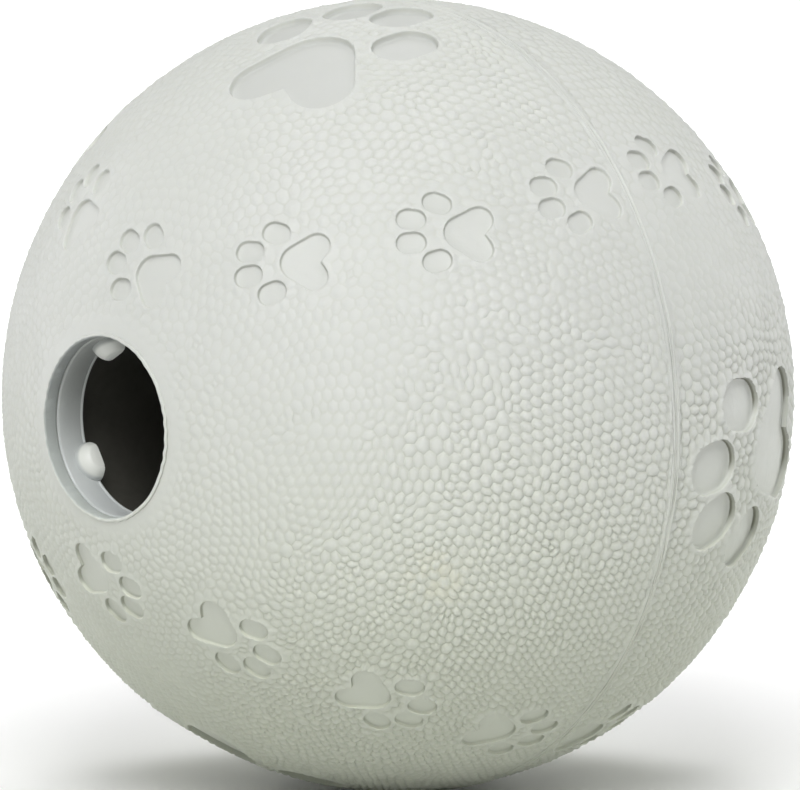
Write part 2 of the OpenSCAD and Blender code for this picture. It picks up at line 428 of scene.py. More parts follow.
@dataclass(frozen=True)
class RubberFinish:
    """Pale natural rubber: matt, faintly mottled and warmer below, with painted shade and painted
    highlights.

    Args:
        name: Name of the material.
        radius: Radius of the ball.
        mouth: Radius of its opening.
        pale: Colour of the pebbles.
        shade: Second tone of the mottling.
        groove: Painted shade deep in the grooves between the pebbles.
        wall: Painted shade that the prints' walls tend to where they face down.
        ledge: Painted highlight on the prints' walls that face up, low on the ball.
        deep_floor_tone: Darker colour of the large prints' floors where they face up.
        lip: Painted shade on the rubber inside the mouth.
        lip_low_light: The same at the lowest side of the mouth, lighter as painted light.
        stain: Colour of the faint warm stain.
        stain_place: Middle of the stain.
        speck: Colour of the rare specks.
        warm: Tint of the underside.
        painted_underside_shade: Darkening of the underside, as painted shade.
        groove_depth: Depth at which the painted groove shade is full.
        floor: Depth from which a recess is a print's floor.
        coarse: Height of the coarse unevenness.
        fine: Height of the fine unevenness.
        scratched: Distance from the seam up to which fine scratches run beside it.
        scratch_depth: Height between the scratches.
        rough: Least and most roughness.
        shine: Strength of the mirrored light.
        soft: Share of the light that passes under the skin.
        soft_tint: Colour of that light.
        soft_way: How far it passes.
    """

    name: str
    radius: float
    mouth: float
    pale: Colour = (0.602, 0.614, 0.585)
    shade: Colour = (0.583, 0.597, 0.565)
    groove: Colour = (0.568, 0.582, 0.54)
    wall: Colour = (0.17, 0.172, 0.135)
    ledge: Colour = (0.71, 0.72, 0.675)
    deep_floor_tone: Colour = (0.535, 0.547, 0.522)
    lip: Colour = (0.35, 0.372, 0.362)
    lip_low_light: Colour = (0.52, 0.55, 0.545)
    stain: Colour = (0.63, 0.62, 0.53)
    stain_place: tuple[float, float, float] = (34.0 * MM, -25.5 * MM, -15.0 * MM)
    speck: Colour = (0.12, 0.12, 0.10)
    warm: Colour = (0.975, 1.0, 0.9)
    painted_underside_shade: Colour = (0.86, 0.86, 0.85)
    groove_depth: float = 0.22 * MM
    floor: float = 0.48 * MM
    coarse: float = 0.05 * MM
    fine: float = 0.008 * MM
    scratched: float = 1.6 * MM
    scratch_depth: float = 0.07 * MM
    rough: Pair = (0.5, 0.62)
    shine: float = 0.38
    soft: float = 0.12
    soft_tint: Colour = (1.0, 0.95, 0.75)
    soft_way: float = 0.5 * MM

    def material(self) -> Material:
        """Builds the material.

        Returns:
            The rubber material.
        """
        g = BallGraph(self.name, self.radius)
        tone = g.mix(g.ramp(g.noise(55.0, 4.0), 0.35, 0.65), self.pale, self.shade)
        # Painted shade deep in the grooves between the pebbles.
        tone = g.mix(self.painted_groove_shade(g), tone, self.groove)
        # Painted shade on the prints' walls, mostly where they face down.
        tone = g.mix(self.painted_wall_shade(g), tone, self.wall)
        # Painted highlight on the prints' walls that face up, low on the ball.
        tone = g.mix(self.painted_ledge_highlight(g), tone, self.ledge)
        # The large prints' floors are darker high on the ball.
        tone = g.mix(self.on_deep_floor(g), tone, self.deep_floor_tone)
        # Painted shade inside the mouth, lighter as painted light towards its lowest side.
        lip = g.mix(g.ramp(g.rise, 2.0 * MM, -self.mouth), self.lip, self.lip_low_light)
        tone = g.mix(self.in_mouth(g), tone, lip)
        tone = g.mix(self.in_stain(g), tone, self.stain)
        tone = g.mix(self.on_speck(g), tone, self.speck)
        tone = g.mix(g.band(g.rise, 0.3, -0.8), tone, self.warm, "MULTIPLY")
        # Painted shade: darker towards the bottom.
        tone = g.mix(g.band(g.rise, -0.2, -0.9), tone, self.painted_underside_shade, "MULTIPLY")
        g.shade(Base_Color=tone, Normal=self.relief(g), Specular_IOR_Level=self.shine)
        g.shade(Roughness=g.ramp(g.noise(420.0, 3.0), 0.3, 0.7, *self.rough), Subsurface_Weight=self.soft)
        g.shade(Subsurface_Radius=self.soft_tint, Subsurface_Scale=self.soft_way)
        return g.material

    def painted_groove_shade(self, g: BallGraph) -> NodeSocket:
        """Share of painted shade at a point in a groove between pebbles, and not on a print's floor."""
        above_floor = g.sunk(self.floor, self.floor - 0.06 * MM)
        return g.product(g.sunk(0.5 * self.groove_depth, self.groove_depth), above_floor)

    def painted_wall_shade(self, g: BallGraph) -> NodeSocket:
        """Share of painted shade at a point on a print's wall.

        Args:
            g: The material's graph.

        Returns:
            The share, largest where a wall faces down, deep in a print, low on the ball or behind the seam.
        """
        steep = g.ramp(g.outright, 0.87, 0.42, 0.0, 0.95)
        downward = g.ramp(g.upward, 0.55, -0.25)
        deep = g.sunk(0.3 * MM, 0.75 * MM, 0.6, 1.5)
        low = g.band(g.rise, 0.1, 0.7, 1.0, 0.05)
        behind_seam = g.product(g.band(g.along, 0.0, 0.25, 0.0, 0.85), g.band(g.along, 0.45, 0.6, 1.0, 0.0))
        off_bottom = g.band(g.rise, -0.9, -0.65, 0.2, 1.0)
        return g.product(steep, downward, deep, g.number("MAXIMUM", low, behind_seam), off_bottom)

    def painted_ledge_highlight(self, g: BallGraph) -> NodeSocket:
        """Share of painted highlight at a point on a wall that faces up, low on the ball.

        Args:
            g: The material's graph.

        Returns:
            The share.
        """
        steep = g.ramp(g.outright, 0.95, 0.6)
        upward = g.ramp(g.upward, 0.15, 0.55)
        return g.product(steep, upward, g.band(g.rise, -0.1, -0.4), g.sunk(self.floor, 0.25 * MM))

    def on_deep_floor(self, g: BallGraph) -> NodeSocket:
        """Share of a point that is on the floor of a large print, high on the ball."""
        return g.product(g.sunk(0.6 * MM, 0.75 * MM), g.band(g.rise, 0.55, 0.75))

    def in_mouth(self, g: BallGraph) -> NodeSocket:
        """Share of a point that is in the mouth."""
        inside = g.ramp(g.from_axis(), self.mouth + 0.02 * MM, self.mouth + 0.2 * MM, 1.0, 0.0)
        return g.product(inside, g.ramp(g.along, -1.0 * MM, 0.0, 1.0, 0.0))

    def in_stain(self, g: BallGraph) -> NodeSocket:
        """Share of a point that is in the patchy stain."""
        away = g.vector("DISTANCE", g.place, self.stain_place)
        return g.product(g.ramp(away, 1.0 * MM, 5.5 * MM, 0.45, 0.0), g.ramp(g.noise(700.0, 2.0), 0.4, 0.6))

    def on_speck(self, g: BallGraph) -> NodeSocket:
        """Share of a point that is on a rare speck.

        Args:
            g: The material's graph.

        Returns:
            The share.
        """
        cells = g.add("ShaderNodeTexVoronoi", feature="F1", Vector=g.place, Scale=330.0, Randomness=1.0)
        lot = g.add("ShaderNodeSeparateColor", Color=cells.outputs["Color"]).outputs["Red"]
        return g.product(g.ramp(cells.outputs["Distance"], 0.02, 0.05, 1.0, 0.0), g.ramp(lot, 0.985, 0.995))

    def relief(self, g: BallGraph) -> NodeSocket:
        """Builds the unevenness of the rubber, and the scratches beside the seam.

        Args:
            g: The material's graph.

        Returns:
            The bumped normal.
        """
        scratches = g.product(
            g.ramp(g.noise(110.0, 2.0, 0.6, finer_along_y=30.0), 0.42, 0.62),
            g.ramp(g.number("ABSOLUTE", g.along), 0.5 * self.scratched, self.scratched, 1.0, 0.0),
            g.ramp(g.noise(30.0), 0.4, 0.55),
        )
        scored = g.bump(scratches, self.scratch_depth, g.bump(g.noise(900.0, 2.0), self.coarse))
        return g.bump(g.noise(5200.0, 3.0, 0.6), self.fine, scored)


@dataclass(frozen=True)
class PlasticFinish:
    """Moulded plastic with a fine orange-peel skin and faint flow marks.

    Args:
        name: Name of the material.
        colour: Main colour.
        second: Second tone of the flow marks.
        crest: Painted highlight where the plastic stands in from its bore, if there is one.
        worn: Painted light that the bore of such plastic tends to on its lowest side.
        bore: Radius of the bore, round the ball's axis.
        rough: Least and most roughness.
        peel: Height of the orange-peel skin.
    """

    name: str
    colour: Colour
    second: Colour
    crest: Colour | None = None
    worn: Colour = (0.7, 0.735, 0.735)
    bore: float = 10.0 * MM
    rough: Pair = (0.3, 0.42)
    peel: float = 0.01 * MM

    def material(self) -> Material:
        """Builds the material.

        Returns:
            The plastic material.
        """
        g = Graph(self.name)
        tone = g.mix(g.ramp(g.noise(160.0, 4.0), 0.35, 0.65), self.colour, self.second)
        # Painted light on the lowest side of the bore, and a painted highlight where the plastic stands in
        # from it.
        if self.crest:
            low = g.ramp(g.part(g.place, "Z"), 0.5 * self.bore, -self.bore, 0.0, 0.6)
            crest_highlight = g.ramp(g.from_axis(), self.bore - 0.15 * MM, self.bore - 0.7 * MM)
            tone = g.mix(crest_highlight, g.mix(low, tone, self.worn), self.crest)
        g.shade(Base_Color=tone, Roughness=g.ramp(g.noise(900.0, 3.0), 0.3, 0.7, *self.rough))
        g.shade(Normal=g.bump(g.noise(2600.0, 2.0), self.peel))
        return g.material


@dataclass(frozen=True)
class PaperFinish:
    """Plain pale paper of the studio floor, which glows far from the ball, where no lamp reaches.

    Args:
        name: Name of the material.
        colour: Colour of the paper.
        second: Second tone of its faint unevenness.
        dark_to: Distance from the ball's centre up to which it doesn't glow.
        full_from: Distance from which it glows in full.
        glow: Strength of the full glow.
        rough: Roughness.
        shine: Strength of the mirrored light.
    """

    name: str = "studio_paper"
    colour: Colour = (0.95, 0.95, 0.95)
    second: Colour = (0.9405, 0.9405, 0.9405)
    dark_to: float = 0.9
    full_from: float = 1.8
    glow: float = 0.85
    rough: float = 0.9
    shine: float = 0.1

    def material(self) -> Material:
        """Builds the material.

        Returns:
            The paper material.
        """
        g = Graph(self.name)
        glow = g.ramp(g.vector("LENGTH", g.place), self.dark_to, self.full_from, 0.0, self.glow)
        g.shade(Base_Color=g.mix(g.noise(30.0, 3.0), self.colour, self.second), Emission_Strength=glow)
        g.shade(Emission_Color=(1.0, 1.0, 1.0, 1.0), Roughness=self.rough, Specular_IOR_Level=self.shine)
        return g.material


@dataclass(frozen=True)
class PrintPart:
    """One toe or pad of a print, as a chain of round ends.

    Args:
        ends: Middles of the round ends, across and along the print.
        radii: Radius at each end.
    """

    ends: tuple[Pair, ...]
    radii: tuple[float, ...]

    def distance(self, x: np.ndarray, y: np.ndarray) -> np.ndarray:
        """Distance of flat points from this part's outline, less than 0 inside it.

        Args:
            x: Places across the print.
            y: Places along the print.

        Returns:
            The distances.
        """
        best = np.full_like(x, np.inf)
        for (a, b), (ra, rb) in zip(zip(self.ends, self.ends[1:]), zip(self.radii, self.radii[1:])):
            run = (b[0] - a[0], b[1] - a[1])
            along = ((x - a[0]) * run[0] + (y - a[1]) * run[1]) / (run[0] ** 2 + run[1] ** 2)
            along = np.clip(along, 0.0, 1.0)
            gap = np.hypot(x - a[0] - along * run[0], y - a[1] - along * run[1]) - (ra + along * (rb - ra))
            best = np.minimum(best, gap)
        return best


@dataclass(frozen=True)
class PrintSizes:
    """Sizes of a small paw print that points along +Y.

    Args:
        toe: Width and length of a toe.
        outer: Side and forward step of an outer toe.
        outer_lean: Outward lean of an outer toe in degrees.
        inner: Side and forward step of an inner toe.
        inner_lean: Outward lean of an inner toe in degrees.
        pad_back: Distance of the pad behind the middle of the print.
        pad_front: Forward step and radius of the pad's front.
        heel: Side step, backward step and radius of each heel.
    """

    toe: Pair = (2.5 * MM, 3.3 * MM)
    outer: Pair = (3.45 * MM, 0.15 * MM)
    outer_lean: float = 20.0
    inner: Pair = (1.4 * MM, 3.0 * MM)
    inner_lean: float = 6.0
    pad_back: float = 3.3 * MM
    pad_front: Pair = (0.7 * MM, 2.05 * MM)
    heel: tuple[float, float, float] = (1.75 * MM, 1.2 * MM, 1.55 * MM)

    def parts(self) -> list[PrintPart]:
        """Lists the toes and the pad as chains of round ends.

        Returns:
            Four toes, then the pad.
        """
        found = []
        radius = self.toe[0] / 2
        reach = self.toe[1] / 2 - radius
        for (across, along), lean in ((self.outer, self.outer_lean), (self.inner, self.inner_lean)):
            for side in (-1, 1):
                turn = math.radians(side * lean)
                step = (reach * math.sin(turn), reach * math.cos(turn))
                middle = (side * across, along)
                ends = tuple((middle[0] + s * step[0], middle[1] + s * step[1]) for s in (-1, 1))
                found.append(PrintPart(ends, (radius, radius)))
        front = (0.0, self.pad_front[0] - self.pad_back)
        heels = [(side * self.heel[0], -self.heel[1] - self.pad_back) for side in (-1, 1)]
        radii = (self.heel[2], self.pad_front[1], self.heel[2])
        found.append(PrintPart((heels[0], front, heels[1]), radii))
        return found


@dataclass(frozen=True)
class PawPrint:
    """One paw print on the ball.

    Args:
        place: Turn that brings the +Z pole to the print, heading included.
        share: Size against a small print.
        depth: Depth of the recess.
    """

    place: Matrix
    share: float
    depth: float


@dataclass(frozen=True)
class PrintWalk:
    """Where the prints lie: small ones walk along one closed tennis-ball curve, large ones sit in its bends.

    Args:
        turn: Turn of the whole pattern about the mouth, in degrees.
        stations: Tilt from the half's pole, turn about it, and heading off the way to the pole.
        small_depth: Depth of a small print.
        large_depth: Depth of a large print.
        large_share: Size of a large print against a small one.
        large_tilt: Tilt of the middle of a large print.
        large_lean: Turn of a large print about its own middle.
    """

    turn: float = -8.0
    stations: tuple[tuple[float, float, float], ...] = (
        (80.4, -46.3, 5.0),
        (59.2, -46.3, 23.0),
        (37.0, -37.0, 34.0),
        (24.0, 1.0, 104.0),
        (37.0, 37.0, 167.0),
        (59.2, 46.3, 179.0),
        (80.4, 46.3, 180.0),
    )
    small_depth: float = 0.5 * MM
    large_depth: float = 0.8 * MM
    large_share: float = 2.35
    large_tilt: float = 71.8
    large_lean: float = 14.0

    def on_half(self, half: Half) -> Iterator[PawPrint]:
        """Gives the prints of one half.

        Args:
            half: The half that carries them.

        Yields:
            Each print.
        """
        hand = -half.value
        base = self.turn if half is Half.FRONT else 90.0 - self.turn
        for half_turn in (0.0, 180.0):
            for tilt, turn, heading in self.stations:
                place = self.place(half, tilt, base + hand * (half_turn + turn), hand * heading)
                yield PawPrint(place, 1.0, self.small_depth)
            place = self.place(half, self.large_tilt, base + half_turn, 180.0 - self.large_lean)
            yield PawPrint(place, self.large_share, self.large_depth)

    def place(self, half: Half, tilt: float, turn: float, heading: float) -> Matrix:
        """Turn of the +Z pole to a tilt from a half's pole, a turn about it and a heading, in degrees."""
        return half.facing @ rotation(turn, "Z") @ rotation(-tilt, "X") @ rotation(180.0 - heading, "Z")


@dataclass
class PrintCutter:
    """Makes the tool that cuts the prints of one half, with rounded brims and floors that follow the ball.

    Args:
        sizes: Sizes of the ball.
        prints: Sizes of a small print.
        brim: Radius of the rounded brim of a recess.
        corner: Radius of the hollow corner at its floor.
        rise: How far the brim's outer edge stands above the ball.
        over: How far the tool stands out of the ball.
        steps: Points along half of a round end's circle.
        fewest: Fewest points along an arc.
        rings: Rings of faces on the floor of a small print, as a mean.
        flat: Share of the floor's width that they take up.
    """

    sizes: BallSizes
    prints: PrintSizes = field(default_factory=PrintSizes)
    brim: float = 0.13 * MM
    corner: float = 0.2 * MM
    rise: float = 0.05 * MM
    over: float = 1.8 * MM
    steps: int = 11
    fewest: int = 4
    rings: float = 1.4
    flat: float = 0.8

    def build(self, paws: Sequence[PawPrint]) -> Object:
        """Builds the tool.

        Args:
            paws: The prints to cut.

        Returns:
            One object of closed, separate plugs.
        """
        whole = bmesh.new()
        for paw in paws:
            for part in self.prints.parts():
                plug = self.plug(part, paw)
                mesh = bpy.data.meshes.new("plug")
                plug.to_mesh(mesh)
                plug.free()
                whole.from_mesh(mesh)
                bpy.data.meshes.remove(mesh)
        return to_object("print_cutter", whole)

    def outline(self, part: PrintPart, share: float, grow: float) -> list[Vector]:
        """Works out a part's outline from the arcs of its round ends.

        Args:
            part: The toe or pad.
            share: Size of the print against a small one.
            grow: How far the outline is widened.

        Returns:
            Points round the outline, running left about.
        """
        ends = [Vector(end) * share for end in part.ends]
        radii = [r * share + grow for r in part.radii]
        order = list(range(len(ends))) + list(range(len(ends) - 2, 0, -1))
        points = []
        for i, at in enumerate(order):
            before, after = order[i - 1], order[(i + 1) % len(order)]
            start = self.leaving(ends[before], radii[before], ends[at], radii[at])
            stop = self.leaving(ends[at], radii[at], ends[after], radii[after])
            sweep = (stop - start) % math.tau
            concave = sweep > 1.5 * math.pi
            if concave:
                points.append(ends[at] + Vector((0.0, radii[at] / math.sin(stop))))
                continue
            number = max(self.fewest, round(self.steps * sweep / math.pi))
            angles = (start + sweep * k / number for k in range(number + 1))
            points += [ends[at] + radii[at] * Vector((math.cos(a), math.sin(a))) for a in angles]
        return points

    def leaving(self, start: Vector, start_r: float, end: Vector, end_r: float) -> float:
        """Angle in radians at which a straight flank leaves one round end for the next."""
        run = end - start
        return math.atan2(run.y, run.x) - math.acos((start_r - end_r) / run.length)

    def plug(self, part: PrintPart, paw: PawPrint) -> BMesh:
        """Builds the plug that cuts one toe or pad, widest above the brim and narrowest on its floor.

        Args:
            part: The toe or pad.
            paw: The print that it belongs to.

        Returns:
            A closed plug on the ball, where height is distance from the ball's centre.
        """
        radius = self.sizes.radius
        floor = radius - paw.depth
        brim, corner = self.brim, self.corner
        arc = [math.radians(a) for a in (0.0, 35.0, 70.0)]
        levels = [(brim, radius + self.rise)]
        levels += [(brim * (1 - math.sin(a)), radius - brim * (1 - math.cos(a))) for a in arc[1:]]
        levels += [(0.0, radius - brim)]
        levels += [(-corner * (1 - math.cos(a)), floor + corner * (1 - math.sin(a))) for a in arc[:-1]]
        levels += [(-corner, floor)]
        width = self.flat * (paw.share * min(part.radii) - corner)
        rings = round(self.rings * paw.share)
        levels += [(-corner - width * k / rings, floor) for k in range(1, rings + 1)]

        shape = bmesh.new()
        widest = self.outline(part, paw.share, brim)
        face = shape.faces.new([shape.verts.new((p.x, p.y, radius + self.over)) for p in widest])
        if face.normal.z < 0:
            face.normal_flip()
        drawn = bmesh.ops.extrude_face_region(shape, geom=[face], use_keep_orig=True)
        bottom = next(item for item in drawn["geom"] if isinstance(item, BMFace))
        here = (brim, levels[0][1])
        for vertex in bottom.verts:
            vertex.co.z = here[1]
        for level in levels[1:]:
            self.sink(shape, bottom, here[0] - level[0], level[1])
            here = level
        bmesh.ops.recalc_face_normals(shape, faces=shape.faces[:])
        for vertex in shape.verts:
            across, along, height = vertex.co
            upright = math.sqrt(radius**2 - across**2 - along**2)
            vertex.co = Vector((across, along, upright)) * (height / radius)
        bmesh.ops.transform(shape, matrix=paw.place, verts=shape.verts[:])
        return shape

    def sink(self, shape: BMesh, face: BMFace, inset: float, height: float) -> None:
        """Draws the plug's bottom face in and down by one level.

        Args:
            shape: The plug.
            face: Its bottom face, which stays the bottom.
            inset: How far the face draws in.
            height: The face's new height.
        """
        if inset > TINY:
            bmesh.ops.inset_region(shape, faces=[face], thickness=inset, use_even_offset=True)
        else:
            bmesh.ops.inset_individual(shape, faces=[face], thickness=0.0, depth=TINY)
        for vertex in face.verts:
            vertex.co.z = height


@dataclass
class PebbleGrain:
    """The pebbled grain of one rubber half: domed cells between narrow grooves.

    Args:
        sizes: Sizes of the ball.
        paws: The prints of the half, near which the grain fades.
        spacing: Distance between neighbouring pebbles.
        groove: Width from the bottom of a groove to the shoulder of a pebble.
        narrowest: Share of a small cell's width that its groove may take.
        rounding: How far a pebble's corners are drawn in, as a share of the way to their neighbours.
        inset: How far a pebble is inset into its cell before it is rounded off.
        widths: Least and most width of a cell that becomes a pebble, as shares of the spacing.
        shoulder: Height of the shoulder as a share of the pebble's height.
        depth: Height of the pebbles where the grain is strongest.
        jitter: How far pebbles stray from an even pattern, as a share of the pattern's step.
        rounds: Number of times that the pattern evens out its distances and is joined up anew.
        settling: Number of times that the cells' corners even out.
        squat: How much closer the rows lie in the lower half of the ball.
        uneven: How far the heights of the pebbles fall below and rise above the rest.
        beside_print: Share of the height that is left beside a print.
        print_fade: Distances from a print between which the grain grows to its height.
        print_rim: Height, distance and width of the soft rim round a print.
        mouth_fade: Angles from the axis between which the grain sets in round the mouth.
        mouth_soft: Angles from the axis between which it grows to its height.
        softest: Share of the height that is left where it sets in.
        worn_front: Share of the height that is missing on top of the front half, and the two
            heights between which that sets in, in ball radii.
        worn_rear: The same for the rear half.
        patchy: Share of the height that is missing where the mould is most worn.
        patches: Seed of the worn places, which run across the seam.
        waves: Number of the waves that place them, their pace, and the scale of their sum.
        plain_edge: Width of the strip beside the seam where the grain fades.
        skin_from: Share of the ball's radius from which a corner is one of the skin's.
        print_reach: Distance from the middle of a small print up to which it is looked for.
        seed: Seed of the pattern.
    """

    sizes: BallSizes
    paws: Sequence[PawPrint]
    spacing: float
    groove: float = 0.17 * MM
    narrowest: float = 0.45
    rounding: float = 0.3
    inset: float = 0.01 * MM
    widths: Pair = (0.35, 3.0)
    shoulder: float = 0.6
    depth: float = 0.2 * MM
    jitter: float = 0.17
    rounds: int = 1
    settling: int = 1
    squat: float = 0.2
    uneven: Pair = (-0.22, 0.132)
    beside_print: float = 0.12
    print_fade: Pair = (0.06 * MM, 0.7 * MM)
    print_rim: tuple[float, float, float] = (0.05 * MM, 0.1 * MM, 0.4 * MM)
    mouth_fade: Pair = (13.4, 17.0)
    mouth_soft: Pair = (20.0, 65.0)
    softest: float = 0.75
    worn_front: tuple[float, float, float] = (0.22, -0.1, 0.65)
    worn_rear: tuple[float, float, float] = (0.42, 0.0, 0.4)
    patchy: float = 0.25
    patches: int = 58825
    waves: tuple[int, float, float] = (5, 3.2, 2.25)
    plain_edge: float = 0.4 * MM
    skin_from: float = 0.98
    print_reach: float = 9.0 * MM
    seed: int = 1

    def build(self, half: Half) -> BMesh:
        """Builds the half ball as a closed, solid cap with a pebbled skin.

        Args:
            half: The half to build.

        Returns:
            The cap, flat at the seam.
        """
        skin = self.cells()
        outward = Vector((0.0, float(half.value), 0.0))
        cut_off(skin, outward * self.sizes.seam / 2, outward)
        level = skin.verts.layers.float.new("level")
        chance = random.Random(self.seed)
        pebbles = [face for face in skin.faces if self.widths[0] < self.roundness(face) < self.widths[1]]
        bmesh.ops.inset_individual(skin, faces=pebbles, thickness=self.inset, use_even_offset=True)
        for pebble in pebbles:
            self.round_off(pebble)
            top = 1.0 + chance.uniform(*self.uneven)
            for vertex in pebble.verts:
                vertex[level] = self.shoulder * top
        for crown in bmesh.ops.poke(skin, faces=pebbles)["verts"]:
            crown[level] = crown.link_edges[0].other_vert(crown)[level] / self.shoulder
        self.raise_pebbles(skin, half, level)
        return skin

    def roundness(self, face: BMFace) -> float:
        """Width of the circle that fits into a cell, as a share of the spacing."""
        return 4.0 * face.calc_area() / face.calc_perimeter() / self.spacing

    def round_off(self, pebble: BMFace) -> None:
        """Draws the shoulder of a pebble in from its cell and rounds its corners.

        Args:
            pebble: The inset face inside the cell.
        """
        middle = pebble.calc_center_median()
        inner = 2.0 * pebble.calc_area() / pebble.calc_perimeter()
        keep = 1.0 - min(self.narrowest, self.groove / inner)
        ring = [vertex.co.copy() for vertex in pebble.verts]
        for i, vertex in enumerate(pebble.verts):
            beside = (ring[i - 1] + ring[(i + 1) % len(ring)]) / 2
            vertex.co = middle + (ring[i].lerp(beside, self.rounding) - middle) * keep

    @staticmethod
    def even_out(shape: BMesh) -> None:
        """Moves every corner half way to the middle of its neighbours."""
        axes = {"use_axis_x": True, "use_axis_y": True, "use_axis_z": True}
        bmesh.ops.smooth_vert(shape, verts=shape.verts[:], factor=0.5, **axes)

    def cells(self) -> BMesh:
        """Covers the whole ball with irregular five- to eight-sided cells.

        Returns:
            A closed mesh with its corners on the ball.
        """
        chance = random.Random(self.seed)
        radius = self.sizes.radius
        per_corner = 3.0 * math.sqrt(3.0) / 2.0 * self.spacing**2
        count = round(4.0 * math.pi * radius**2 / per_corner)
        step = math.sqrt(4.0 * math.pi / count)
        shape = bmesh.new()
        golden = math.pi * (3.0 - math.sqrt(5.0))
        for i in range(count):
            along = 1.0 - 2.0 * (i + 0.5) / count
            across = math.sqrt(1.0 - along**2)
            point = Vector((across * math.cos(golden * i), along, across * math.sin(golden * i)))
            stray = Vector([chance.gauss(0.0, self.jitter * step) for _ in range(3)])
            shape.verts.new((point + stray).normalized() * radius)
        for _ in range(self.rounds):
            bmesh.ops.delete(shape, geom=shape.edges[:], context="EDGES_FACES")
            for vertex in shape.verts:
                vertex.co = vertex.co.normalized() * radius
            bmesh.ops.convex_hull(shape, input=shape.verts[:], use_existing_faces=False)
            self.even_out(shape)
        third = {"offset": 33.3, "offset_type": "PERCENT", "segments": 1, "profile": 0.5}
        bmesh.ops.bevel(shape, geom=shape.verts[:], affect="VERTICES", material=-1, **third)
        for _ in range(self.settling):
            self.even_out(shape)
        for vertex in shape.verts:
            place = vertex.co.normalized()
            flat = math.hypot(place.x, place.y)
            rise = math.asin(place.z) - self.squat * flat**2
            wide = math.cos(rise) / flat
            vertex.co = Vector((place.x * wide, place.y * wide, math.sin(rise))) * radius
        return shape

    def raise_pebbles(self, skin: BMesh, half: Half, level: BMLayerItem) -> None:
        """Sinks the grooves between the pebbles, less where the grain fades.

        Args:
            skin: The half ball's skin.
            half: The half that it covers.
            level: Layer with each corner's height, 0 in a groove and 1 on a pebble.
        """
        places = np.array([vertex.co for vertex in skin.verts])
        heights = np.array([vertex[level] for vertex in skin.verts])
        lengths = np.linalg.norm(places, axis=1)
        on_skin = lengths > self.skin_from * self.sizes.radius
        ways = places / lengths[:, None]
        edge = self.print_distance(ways)
        gain = self.strength(ways, half) * grown(fade(edge, *self.print_fade), self.beside_print)
        gain *= fade(np.abs(places[:, 1]) - self.sizes.seam / 2, 0.0, self.plain_edge)
        rim_height, rim_place, rim_width = self.print_rim
        rim = rim_height * np.exp(-(((edge - rim_place) / rim_width) ** 2))
        reach = self.sizes.radius - self.depth * gain * (1.0 - heights) + rim * (edge < FAR)
        for vertex, way, distance, touched in zip(skin.verts, ways, reach, on_skin):
            if touched:
                vertex.co = Vector(way * distance)

    def strength(self, ways: np.ndarray, half: Half) -> np.ndarray:
        """Share of the full groove depth at each place: the grain softens towards the mouth.

        Args:
            ways: Unit directions from the ball's centre.
            half: The half that they lie on.

        Returns:
            The shares.
        """
        chance = random.Random(self.patches)
        drift = np.zeros(len(ways))
        number, pace, scale = self.waves
        for _ in range(number):
            wave = np.array([chance.gauss(0.0, pace) for _ in range(3)])
            drift += np.sin(ways @ wave + chance.uniform(0.0, math.tau)) / scale
        missing, low, high = self.worn_front if half is Half.FRONT else self.worn_rear
        worn = 1.0 - missing * fade(ways[:, 2], low, high)
        worn *= 1.0 - self.patchy * fade(drift, 1.0, -1.0)
        if half is Half.REAR:
            return worn
        from_axis = np.degrees(np.arccos(np.clip(-ways[:, 1], -1.0, 1.0)))
        softened = grown(fade(from_axis, *self.mouth_soft), self.softest)
        return worn * fade(from_axis, *self.mouth_fade) * softened

    def print_distance(self, ways: np.ndarray) -> np.ndarray:
        """Distance of each place from the nearest print's outline.

        Args:
            ways: Unit directions from the ball's centre.

        Returns:
            The distances, large far from any print and less than 0 inside one.
        """
        radius = self.sizes.radius
        best = np.full(len(ways), FAR)
        parts = PrintSizes().parts()
        for paw in self.paws:
            local = ways @ np.array(paw.place.to_3x3())
            span = self.print_reach * paw.share / radius
            near = np.flatnonzero((local[:, 2] > 0) & (np.hypot(local[:, 0], local[:, 1]) < span))
            across, along = (radius * local[near, i] / paw.share for i in (0, 1))
            for part in parts:
                best[near] = np.minimum(best[near], part.distance(across, along) * paw.share)
        return best


def fade(value: np.ndarray, low: float, high: float) -> np.ndarray:
    """Smooth step from 0 at low to 1 at high."""
    share = np.clip((value - low) / (high - low), 0.0, 1.0)
    return share * share * (3.0 - 2.0 * share)


def grown(share: np.ndarray, least: float) -> np.ndarray:
    """Brings shares from 0 to 1 to shares from a least one to 1."""
    return least + (1.0 - least) * share


class Waver:
    """An uneven line round the ball's axis, from a few sines."""

    def __init__(self, seed: int, number: int = 9, coarsest: int = 5, finest: int = 60) -> None:
        """Chooses a number of sines, each with a count of waves round the axis between two limits."""
        chance = random.Random(seed)
        self.waves = [(chance.uniform(0, math.tau), chance.randint(coarsest, finest)) for _ in range(number)]

    def at(self, turn: float, hand: float = 1.0) -> float:
        """Height of the line at an angle, mostly between -1 and 1, where hand picks one of several lines."""
        lift = sum(math.sin(hand * phase + number * turn) for phase, number in self.waves)
        return lift / math.sqrt(len(self.waves))


